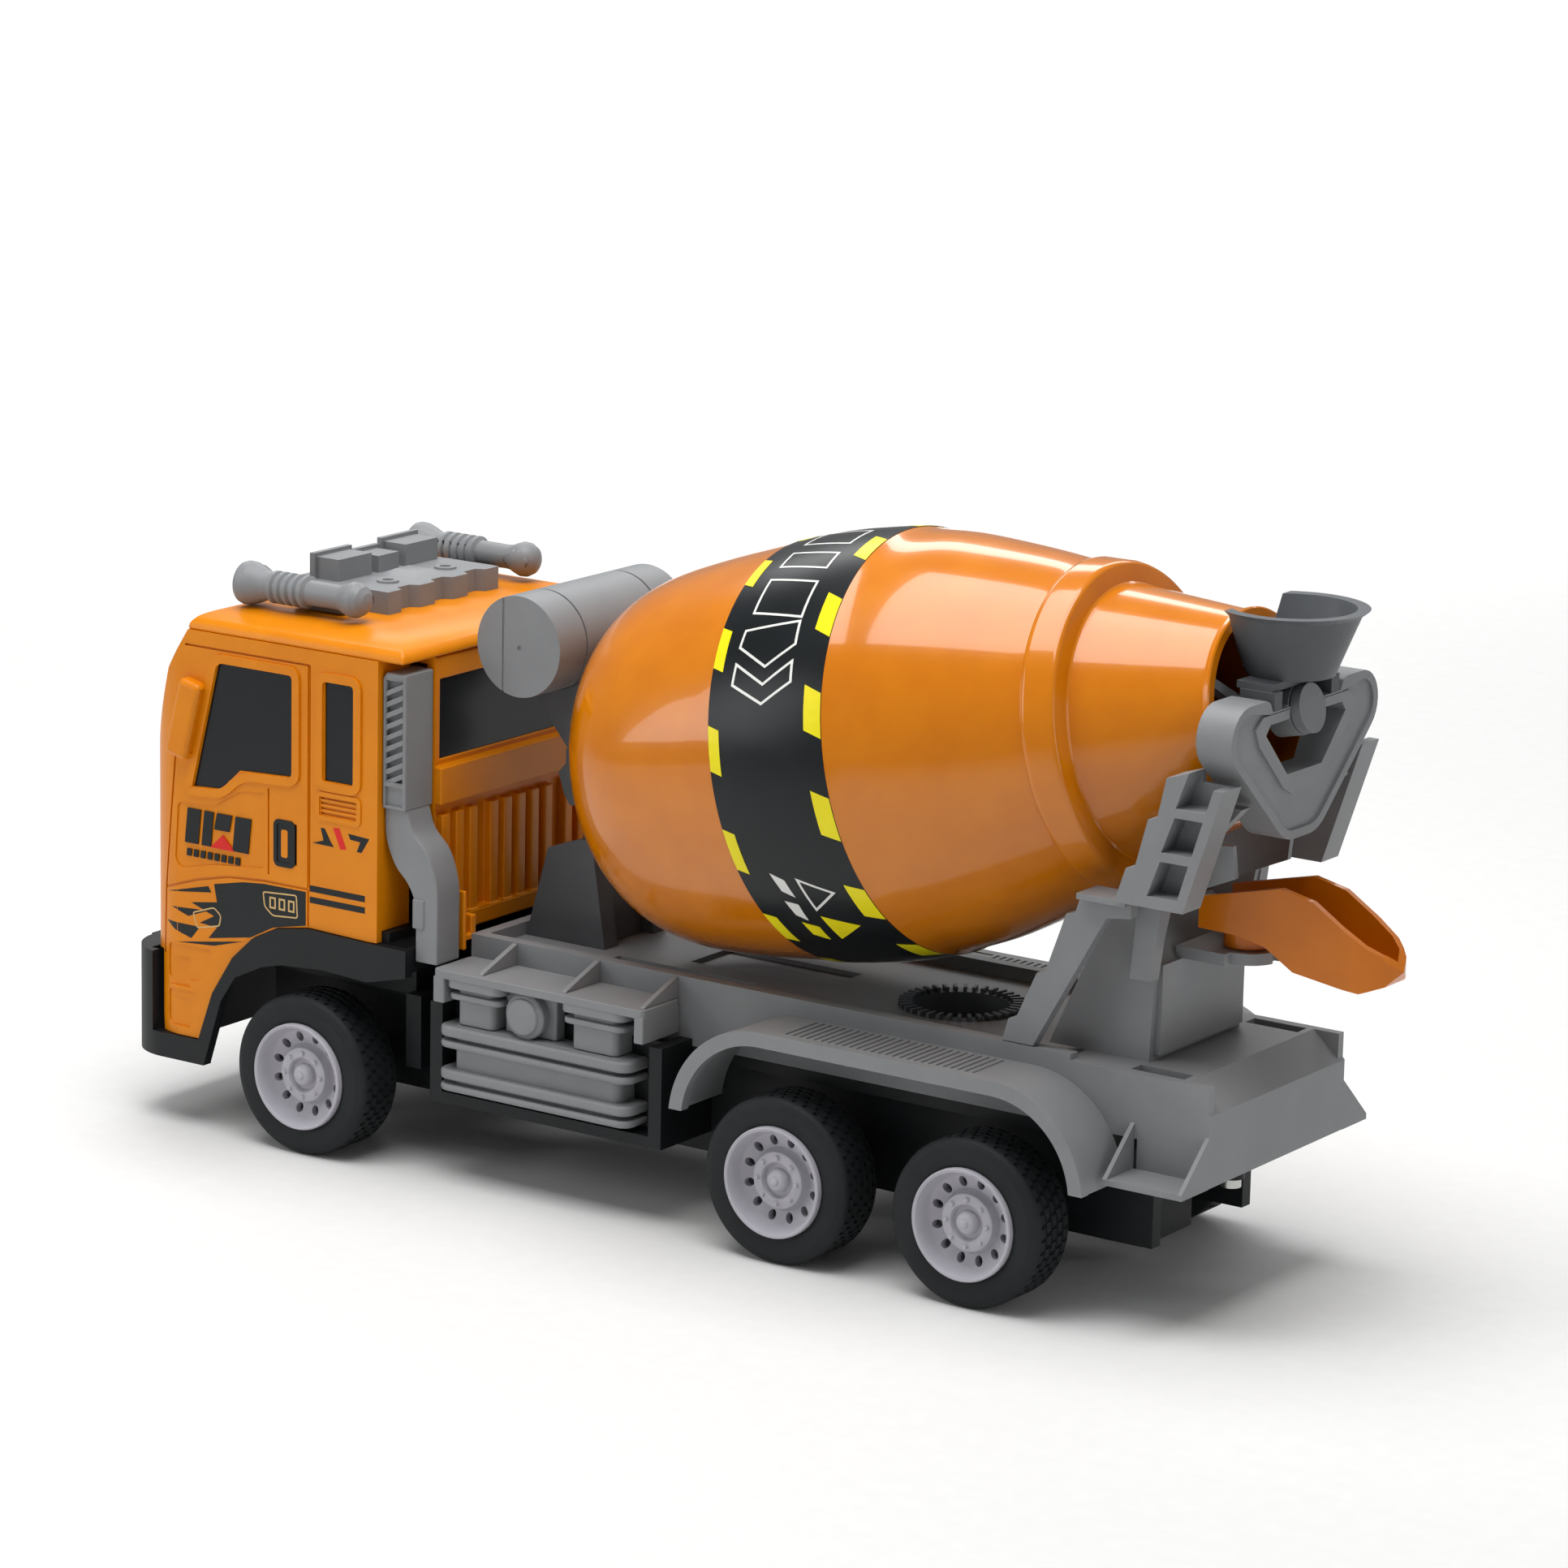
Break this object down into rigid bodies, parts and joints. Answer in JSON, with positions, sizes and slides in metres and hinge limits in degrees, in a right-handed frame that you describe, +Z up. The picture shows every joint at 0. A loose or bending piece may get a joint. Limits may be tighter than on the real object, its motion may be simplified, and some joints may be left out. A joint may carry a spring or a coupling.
{
  "type": "toy concrete mixer truck",
  "caption": "Toy concrete mixer truck with a cab, spinning tilted drum, hopper, swivelling chute, ladders, fenders and friction-driven wheels.",
  "frame": {"origin": "centre of the footprint at ground level, under the middle of the overall length and width", "axes": "+X towards the cab's nose, +Y to the driver's left, +Z up"},
  "size_m": [0.368, 0.111, 0.1825],
  "materials": {
    "black_plastic": "satin moulded",
    "steel_axle": "drawn bright",
    "zinc_screw": "zinc plated",
    "silver_rim": "silver-painted plastic",
    "black_tyre": "soft moulded",
    "white_gear": "acetal",
    "steel_flywheel": "pressed",
    "orange_cab": "satin moulded",
    "dark_glazing": "smoked, glossy",
    "clear_lamp": "clear over silver",
    "grey_plastic": "satin moulded",
    "dark_grey_plastic": "satin moulded",
    "orange_chute": "satin moulded",
    "orange_drum": "polished mould",
    "printed_band": "printed label"
  },
  "bodies": {
    "truck": {"chassis": "black_plastic", "chassis_screws": "zinc_screw", "motor_housing": "black_plastic", "front_bumper": "black_plastic", "cab_shell": "orange_cab", "cab_roof": "orange_cab", "cab_rear_wall": "orange_cab", "windscreen": "dark_glazing", "side_window_left": "dark_glazing", "side_window_right": "dark_glazing", "rear_window": "dark_glazing", "grille": "black_plastic", "headlamps": "clear_lamp", "mirror_left": "orange_cab", "mirror_right": "orange_cab", "roof_rack": "grey_plastic", "exhaust_left": "grey_plastic", "exhaust_right": "grey_plastic", "water_tank": "grey_plastic", "tank_bracket": "grey_plastic", "drum_pedestal": "grey_plastic", "deck": "grey_plastic", "fender_left": "grey_plastic", "fender_right": "grey_plastic", "side_boxes_left": "grey_plastic", "side_boxes_right": "grey_plastic", "tooth_ring": "grey_plastic", "rear_tower": "grey_plastic", "ladder_left": "grey_plastic", "ladder_right": "grey_plastic", "discharge_scoop": "grey_plastic", "saddle": "grey_plastic", "hopper": "dark_grey_plastic", "chute_pin": "steel_axle"},
    "front_wheels": {"front_axle": "steel_axle", "rim_front_left": "silver_rim", "rim_front_right": "silver_rim", "tyre_front_left": "black_tyre", "tyre_front_right": "black_tyre"},
    "mid_wheels": {"mid_axle": "steel_axle", "rim_mid_left": "silver_rim", "rim_mid_right": "silver_rim", "tyre_mid_left": "black_tyre", "tyre_mid_right": "black_tyre"},
    "rear_wheels": {"rear_axle": "steel_axle", "rim_rear_left": "silver_rim", "rim_rear_right": "silver_rim", "tyre_rear_left": "black_tyre", "tyre_rear_right": "black_tyre", "axle_gear": "white_gear"},
    "idler": {"idler_gear": "white_gear"},
    "flywheel": {"flywheel": "steel_flywheel"},
    "drum": {"drum_front_shell": "orange_drum", "drum_rear_shell": "orange_drum", "drum_band": "printed_band", "drum_fins": "orange_drum", "drum_front_spindle": "steel_axle", "drum_rear_hub": "grey_plastic"},
    "chute": {"chute": "orange_chute"}
  },
  "joints": [
    {"name": "front_axle_spin", "type": "hinge", "parent": "truck", "child": "front_wheels", "pos_m": [0.118, 0, 0.0218], "axis": [0, 1, 0], "continuous": true},
    {"name": "mid_axle_spin", "type": "hinge", "parent": "truck", "child": "mid_wheels", "pos_m": [-0.036, 0, 0.0218], "axis": [0, 1, 0], "continuous": true},
    {"name": "rear_axle_spin", "type": "hinge", "parent": "truck", "child": "rear_wheels", "pos_m": [-0.093, 0, 0.0218], "axis": [0, 1, 0], "continuous": true},
    {"name": "idler_spin", "type": "hinge", "parent": "truck", "child": "idler", "pos_m": [-0.1029, 0, 0.0218], "axis": [0, 1, 0], "continuous": true},
    {"name": "flywheel_spin", "type": "hinge", "parent": "truck", "child": "flywheel", "pos_m": [-0.111, 0, 0.0218], "axis": [0, 1, 0], "continuous": true},
    {"name": "drum_spin", "type": "hinge", "parent": "truck", "child": "drum", "pos_m": [-0.032, 0, 0.125], "axis": [-0.9763, 0, 0.2164], "continuous": true},
    {"name": "chute_swivel", "type": "hinge", "parent": "truck", "child": "chute", "pos_m": [-0.14, 0, 0.0903], "axis": [0, 0, 1], "range_deg": [-40, 40]}
  ],
  "couplings": [
    {"joint": "idler_spin", "follows": "rear_axle_spin", "ratio": -2.6667},
    {"joint": "flywheel_spin", "follows": "rear_axle_spin", "ratio": 5.3333}
  ]
}
